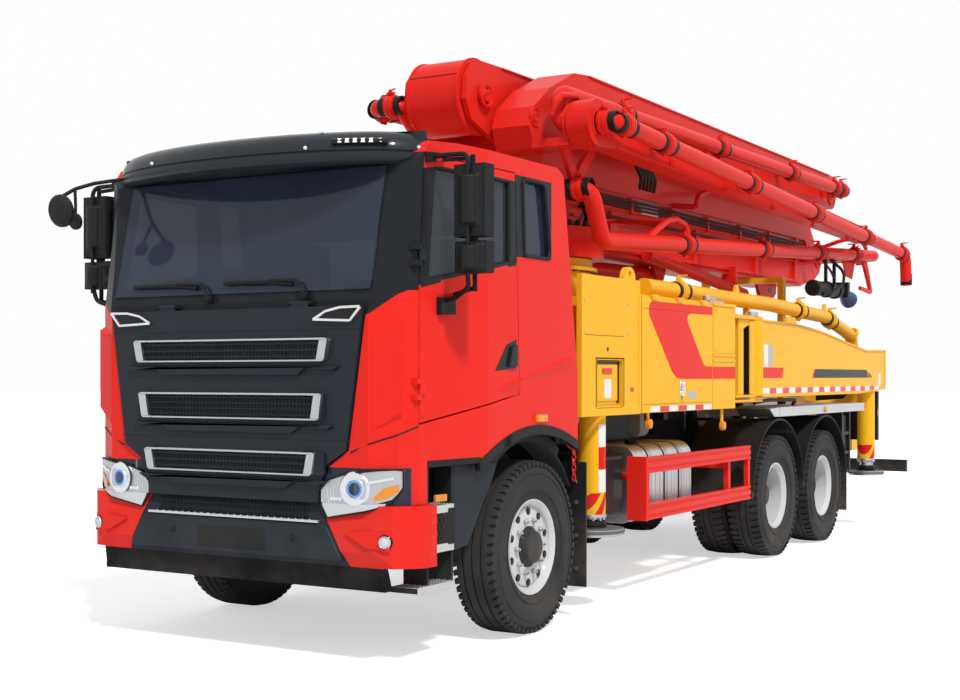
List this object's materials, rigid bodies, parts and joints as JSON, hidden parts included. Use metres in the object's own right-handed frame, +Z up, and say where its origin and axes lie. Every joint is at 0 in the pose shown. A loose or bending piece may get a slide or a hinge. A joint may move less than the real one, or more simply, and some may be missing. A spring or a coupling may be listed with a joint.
{
  "type": "concrete pump truck",
  "caption": "Red and yellow truck-mounted concrete pump on a forward-control chassis, with a folding placing boom, sliding and swinging outriggers and a rear hopper.",
  "frame": {"origin": "on the ground under the middle of the overall box", "axes": "+X forward, +Y to the vehicle's left, +Z up"},
  "size_m": [11.4758, 3.06, 3.9848],
  "materials": {
    "red_paint": "gloss",
    "yellow_paint": "gloss",
    "chassis_paint": "satin",
    "black_plastic": "matte",
    "dark_glass": "clear",
    "tyre_rubber": "matte",
    "rim_silver": "satin",
    "steel": "satin",
    "cast_metal": "matte",
    "seat_cloth": "matte",
    "tank_aluminium": "satin"
  },
  "bodies": {
    "truck": {"chassis_frame": "chassis_paint", "engine": "cast_metal", "front_axle": "chassis_paint", "rear_axles": "chassis_paint", "fuel_tank": "tank_aluminium", "side_equipment": "chassis_paint", "side_guards": "red_paint", "mudguards": "black_plastic", "pedestal": "yellow_paint", "outrigger_frames": "yellow_paint", "cabinets": "yellow_paint", "platforms": "tank_aluminium", "pump_cylinders": "steel", "deck_line": "yellow_paint", "hopper": "yellow_paint", "tail_panel": "chassis_paint"},
    "cab": {"cab_shell": "red_paint", "cab_glass": "dark_glass", "roof_visor": "black_plastic", "front_bumper": "red_paint", "cab_steps": "black_plastic", "cab_interior": "seat_cloth"},
    "turret": {"turret": "yellow_paint"},
    "tie_rod": {"tie_rod": "cast_metal"},
    "front_lid": {"front_lid": "black_plastic"},
    "agitator": {"agitator": "steel"},
    "hopper_grate": {"hopper_grate": "steel"},
    "lift_barrel": {"lift_barrel": "yellow_paint"},
    "lift_rod": {"lift_rod": "steel"},
    "arm_1": {"arm_1": "red_paint"},
    "arm_2": {"arm_2": "red_paint"},
    "arm_3": {"arm_3": "red_paint"},
    "arm_4": {"arm_4": "red_paint"},
    "arm_5": {"arm_5": "red_paint"},
    "knuckle_left": {"knuckle_left": "cast_metal"},
    "front_wheel_left": {"front_tyre_left": "tyre_rubber", "front_rim_left": "rim_silver"},
    "rear_wheel_1_left": {"rear_tyres_1_left": "tyre_rubber", "rear_rim_1_left": "rim_silver"},
    "rear_wheel_2_left": {"rear_tyres_2_left": "tyre_rubber", "rear_rim_2_left": "rim_silver"},
    "door_left": {"door_left": "red_paint"},
    "cabinet_door_left": {"cabinet_door_left": "yellow_paint"},
    "front_beam_left": {"front_beam_left": "yellow_paint"},
    "front_jack_left": {"front_jack_left": "yellow_paint"},
    "rear_beam_left": {"rear_beam_left": "yellow_paint"},
    "rear_jack_left": {"rear_jack_left": "yellow_paint"},
    "knuckle_right": {"knuckle_right": "cast_metal"},
    "front_wheel_right": {"front_tyre_right": "tyre_rubber", "front_rim_right": "rim_silver"},
    "rear_wheel_1_right": {"rear_tyres_1_right": "tyre_rubber", "rear_rim_1_right": "rim_silver"},
    "rear_wheel_2_right": {"rear_tyres_2_right": "tyre_rubber", "rear_rim_2_right": "rim_silver"},
    "door_right": {"door_right": "red_paint"},
    "cabinet_door_right": {"cabinet_door_right": "yellow_paint"},
    "front_beam_right": {"front_beam_right": "yellow_paint"},
    "front_jack_right": {"front_jack_right": "yellow_paint"},
    "rear_beam_right": {"rear_beam_right": "yellow_paint"},
    "rear_jack_right": {"rear_jack_right": "yellow_paint"}
  },
  "joints": [
    {"name": "steer_left", "type": "hinge", "parent": "truck", "child": "knuckle_left", "pos_m": [3.93795, 0.85, 0.5425], "axis": [0, 0, 1], "range_deg": [-33, 33]},
    {"name": "front_wheel_spin_left", "type": "hinge", "parent": "knuckle_left", "child": "front_wheel_left", "pos_m": [3.93795, 1.078, 0.5425], "axis": [0, 1, 0], "continuous": true},
    {"name": "rear_wheel_1_spin_left", "type": "hinge", "parent": "truck", "child": "rear_wheel_1_left", "pos_m": [-0.56205, 0.919, 0.5425], "axis": [0, 1, 0], "continuous": true},
    {"name": "rear_wheel_2_spin_left", "type": "hinge", "parent": "truck", "child": "rear_wheel_2_left", "pos_m": [-1.91205, 0.919, 0.5425], "axis": [0, 1, 0], "continuous": true},
    {"name": "steer_right", "type": "hinge", "parent": "truck", "child": "knuckle_right", "pos_m": [3.93795, -0.85, 0.5425], "axis": [0, 0, 1], "range_deg": [-33, 33]},
    {"name": "front_wheel_spin_right", "type": "hinge", "parent": "knuckle_right", "child": "front_wheel_right", "pos_m": [3.93795, -1.078, 0.5425], "axis": [0, 1, 0], "continuous": true},
    {"name": "rear_wheel_1_spin_right", "type": "hinge", "parent": "truck", "child": "rear_wheel_1_right", "pos_m": [-0.56205, -0.919, 0.5425], "axis": [0, 1, 0], "continuous": true},
    {"name": "rear_wheel_2_spin_right", "type": "hinge", "parent": "truck", "child": "rear_wheel_2_right", "pos_m": [-1.91205, -0.919, 0.5425], "axis": [0, 1, 0], "continuous": true},
    {"name": "tie_rod_shift", "type": "slide", "parent": "truck", "child": "tie_rod", "axis": [0, 1, 0], "range_m": [-0.12, 0.12]},
    {"name": "cab_tilt", "type": "hinge", "parent": "truck", "child": "cab", "pos_m": [5.18795, 0, 0.7], "axis": [0, 1, 0], "range_deg": [0, 45]},
    {"name": "door_left_hinge", "type": "hinge", "parent": "cab", "child": "door_left", "pos_m": [5.18895, 1.183, 1.9], "axis": [0, 0, -1], "range_deg": [0, 70]},
    {"name": "door_right_hinge", "type": "hinge", "parent": "cab", "child": "door_right", "pos_m": [5.18895, -1.183, 1.9], "axis": [0, 0, 1], "range_deg": [0, 70]},
    {"name": "front_lid_hinge", "type": "hinge", "parent": "cab", "child": "front_lid", "pos_m": [5.38395, 0, 2.024], "axis": [0, -1, 0], "range_deg": [0, 75]},
    {"name": "cabinet_door_left_hinge", "type": "hinge", "parent": "truck", "child": "cabinet_door_left", "pos_m": [1.71795, 1.254, 2.194], "axis": [1, 0, 0], "range_deg": [0, 90]},
    {"name": "cabinet_door_right_hinge", "type": "hinge", "parent": "truck", "child": "cabinet_door_right", "pos_m": [1.71795, -1.254, 2.194], "axis": [-1, 0, 0], "range_deg": [0, 90]},
    {"name": "turret_slew", "type": "hinge", "parent": "truck", "child": "turret", "pos_m": [1.78795, 0, 2.6], "axis": [0, 0, 1], "range_deg": [-100, 100]},
    {"name": "arm_1_luff", "type": "hinge", "parent": "turret", "child": "arm_1", "pos_m": [2.33795, -0.2, 3], "axis": [0, 1, 0], "range_deg": [0, 85]},
    {"name": "arm_2_fold", "type": "hinge", "parent": "arm_1", "child": "arm_2", "pos_m": [-5.21205, -0.2, 3.03], "axis": [0, -1, 0], "range_deg": [0, 180]},
    {"name": "arm_3_fold", "type": "hinge", "parent": "arm_2", "child": "arm_3", "pos_m": [2.65795, -0.2, 3.69], "axis": [0, 1, 0], "range_deg": [0, 180]},
    {"name": "arm_4_fold", "type": "hinge", "parent": "arm_3", "child": "arm_4", "pos_m": [-4.66205, 0.28, 3.75], "axis": [0, -1, 0], "range_deg": [0, 180]},
    {"name": "arm_5_fold", "type": "hinge", "parent": "arm_4", "child": "arm_5", "pos_m": [2.43795, 0.83, 3.45], "axis": [0, 1, 0], "range_deg": [0, 180]},
    {"name": "lift_barrel_swing", "type": "hinge", "parent": "turret", "child": "lift_barrel", "pos_m": [1.10795, -0.2, 2.56], "axis": [0, 1, 0], "range_deg": [0, 98]},
    {"name": "lift_rod_stroke", "type": "slide", "parent": "lift_barrel", "child": "lift_rod", "axis": [-0.9999, 0, 0.0145], "range_m": [0, 1.67]},
    {"name": "front_beam_left_slide", "type": "slide", "parent": "truck", "child": "front_beam_left", "axis": [0, 1, 0], "range_m": [0, 1.6]},
    {"name": "front_jack_left_slide", "type": "slide", "parent": "front_beam_left", "child": "front_jack_left", "axis": [0, 0, -1], "range_m": [0, 0.5]},
    {"name": "rear_beam_left_swing", "type": "hinge", "parent": "truck", "child": "rear_beam_left", "pos_m": [-0.11205, 1.145, 1.7], "axis": [0, 0, -1], "range_deg": [0, 100]},
    {"name": "rear_jack_left_slide", "type": "slide", "parent": "rear_beam_left", "child": "rear_jack_left", "axis": [0, 0, -1], "range_m": [0, 0.54]},
    {"name": "front_beam_right_slide", "type": "slide", "parent": "truck", "child": "front_beam_right", "axis": [0, -1, 0], "range_m": [0, 1.6]},
    {"name": "front_jack_right_slide", "type": "slide", "parent": "front_beam_right", "child": "front_jack_right", "axis": [0, 0, -1], "range_m": [0, 0.5]},
    {"name": "rear_beam_right_swing", "type": "hinge", "parent": "truck", "child": "rear_beam_right", "pos_m": [-0.11205, -1.145, 1.7], "axis": [0, 0, 1], "range_deg": [0, 100]},
    {"name": "rear_jack_right_slide", "type": "slide", "parent": "rear_beam_right", "child": "rear_jack_right", "axis": [0, 0, -1], "range_m": [0, 0.54]},
    {"name": "hopper_grate_hinge", "type": "hinge", "parent": "truck", "child": "hopper_grate", "pos_m": [-4.39505, 0, 1.646], "axis": [0, 1, 0], "range_deg": [0, 100]},
    {"name": "agitator_spin", "type": "hinge", "parent": "truck", "child": "agitator", "pos_m": [-4.76205, 0, 1.12], "axis": [0, 1, 0], "continuous": true}
  ],
  "couplings": [
    {"joint": "steer_right", "follows": "steer_left", "ratio": 1},
    {"joint": "tie_rod_shift", "follows": "steer_left", "m_per_rad": -0.2},
    {"joint": "lift_barrel_swing", "follows": "arm_1_luff", "ratio": 1.1459},
    {"joint": "lift_rod_stroke", "follows": "arm_1_luff", "m_per_rad": 1.119}
  ]
}
